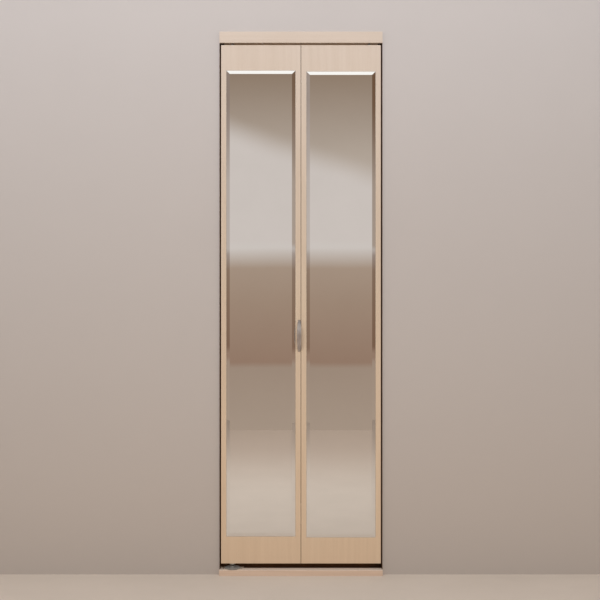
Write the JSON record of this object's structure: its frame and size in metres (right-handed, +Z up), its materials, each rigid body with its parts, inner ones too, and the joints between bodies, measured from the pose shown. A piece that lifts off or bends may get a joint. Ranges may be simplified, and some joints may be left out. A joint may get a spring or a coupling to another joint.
{
  "type": "bifold closet door",
  "caption": "Narrow bifold closet door unit: hinged, mirrored wood-tone panels on a bottom pivot and a top track guide, with fascia, side liners, sill and pull.",
  "frame": {"origin": "middle of the opening's width, on the underside of the sill, in the plane of the pivots", "axes": "+Z up, room side is -Y, closet side is +Y, pivot side is -X"},
  "size_m": [0.6096, 0.0762, 2.032],
  "materials": {
    "veneer": "pale maple-tone veneer, satin",
    "stile_wood": "lipped pine",
    "core_board": "low-density core board",
    "dowel_wood": "beech",
    "mirror_glass": "silvered float glass, ground bevel",
    "mastic": "mirror mastic",
    "dark_bronze": "dark bronze, satin",
    "foiled_steel": "folded steel, wood-tone foil",
    "track_steel": "plated steel",
    "sand_enamel": "pressed steel, sand enamel",
    "zinc": "zinc plated",
    "fastener_steel": "zinc plated",
    "hinge_steel": "satin nickel plated",
    "satin_nickel": "satin nickel",
    "spring_steel": "drawn wire",
    "white_nylon": "natural nylon"
  },
  "bodies": {
    "frame": {"header_fascia": "veneer", "head_channel": "foiled_steel", "top_track": "track_steel", "track_rivets": "fastener_steel", "fascia_screws": "fastener_steel", "top_pivot_bracket": "track_steel", "top_pivot_socket": "white_nylon", "top_bracket_lock_screw": "fastener_steel", "left_jamb_liner": "dark_bronze", "right_jamb_liner": "dark_bronze", "side_return_strips": "dark_bronze", "sill_board": "veneer", "sill_back_strip": "dark_bronze", "sill_liner_strip": "dark_bronze", "sill_strip_screws": "fastener_steel", "pivot_base_plate": "sand_enamel", "pivot_plate_screws": "fastener_steel"},
    "adjuster_wheel": {"height_adjuster_wheel": "zinc"},
    "pivot_stud": {"bottom_pivot_stud": "zinc"},
    "pivot_panel": {"left_front_skin": "veneer", "left_back_skin": "veneer", "left_outer_stile": "stile_wood", "left_inner_stile": "stile_wood", "left_top_rail": "stile_wood", "left_bottom_rail": "stile_wood", "left_core_board": "core_board", "left_mirror": "mirror_glass", "left_mirror_mastic": "mastic", "left_dowels": "dowel_wood", "bottom_pivot_bush": "white_nylon", "top_pivot_sleeve": "zinc", "top_pivot_spring": "spring_steel", "pull_handle": "satin_nickel", "handle_bolts": "fastener_steel", "hinge_leaf_left_bottom": "hinge_steel", "hinge_leaf_left_middle": "hinge_steel", "hinge_leaf_left_top": "hinge_steel", "hinge_pins": "fastener_steel", "hinge_screws_left": "fastener_steel"},
    "top_pin": {"top_pivot_pin": "zinc"},
    "lead_panel": {"right_front_skin": "veneer", "right_back_skin": "veneer", "right_outer_stile": "stile_wood", "right_inner_stile": "stile_wood", "right_top_rail": "stile_wood", "right_bottom_rail": "stile_wood", "right_core_board": "core_board", "right_mirror": "mirror_glass", "right_mirror_mastic": "mastic", "right_dowels": "dowel_wood", "top_guide_sleeve": "zinc", "top_guide_spring": "spring_steel", "hinge_leaf_right_bottom": "hinge_steel", "hinge_leaf_right_middle": "hinge_steel", "hinge_leaf_right_top": "hinge_steel", "hinge_screws_right": "fastener_steel"},
    "guide_pin": {"top_guide_pin": "zinc"},
    "guide_roller": {"top_guide_roller": "white_nylon"}
  },
  "joints": [
    {"name": "door_lift", "type": "slide", "parent": "frame", "child": "pivot_stud", "axis": [0, 0, 1], "range_m": [-0.003, 0.003]},
    {"name": "wheel_spin", "type": "hinge", "parent": "frame", "child": "adjuster_wheel", "pos_m": [-0.2565, 0, 0.0227], "axis": [0, 0, 1], "range_deg": [-545, 545]},
    {"name": "panel_swing", "type": "hinge", "parent": "pivot_stud", "child": "pivot_panel", "pos_m": [-0.2565, 0, 0.043], "axis": [0, 0, -1], "range_deg": [0, 85]},
    {"name": "panel_fold", "type": "hinge", "parent": "pivot_panel", "child": "lead_panel", "pos_m": [0, 0.0184, 1.013], "axis": [0, 0, -1], "range_deg": [-171, 1]},
    {"name": "top_pin_plunge", "type": "slide", "parent": "pivot_panel", "child": "top_pin", "axis": [0, 0, -1], "range_m": [0, 0.015], "stiffness_N_per_m": 400, "springref_m": -0.02, "deforming": ["top_pivot_spring"]},
    {"name": "guide_pin_plunge", "type": "slide", "parent": "lead_panel", "child": "guide_pin", "axis": [0, 0, -1], "range_m": [0, 0.015], "stiffness_N_per_m": 400, "springref_m": -0.02, "deforming": ["top_guide_spring"]},
    {"name": "roller_spin", "type": "hinge", "parent": "guide_pin", "child": "guide_roller", "pos_m": [0.2565, 0, 2.006], "axis": [0, 0, 1], "continuous": true}
  ],
  "couplings": [
    {"joint": "panel_fold", "follows": "panel_swing", "ratio": -2},
    {"joint": "wheel_spin", "follows": "door_lift", "rad_per_m": 3141.6}
  ]
}
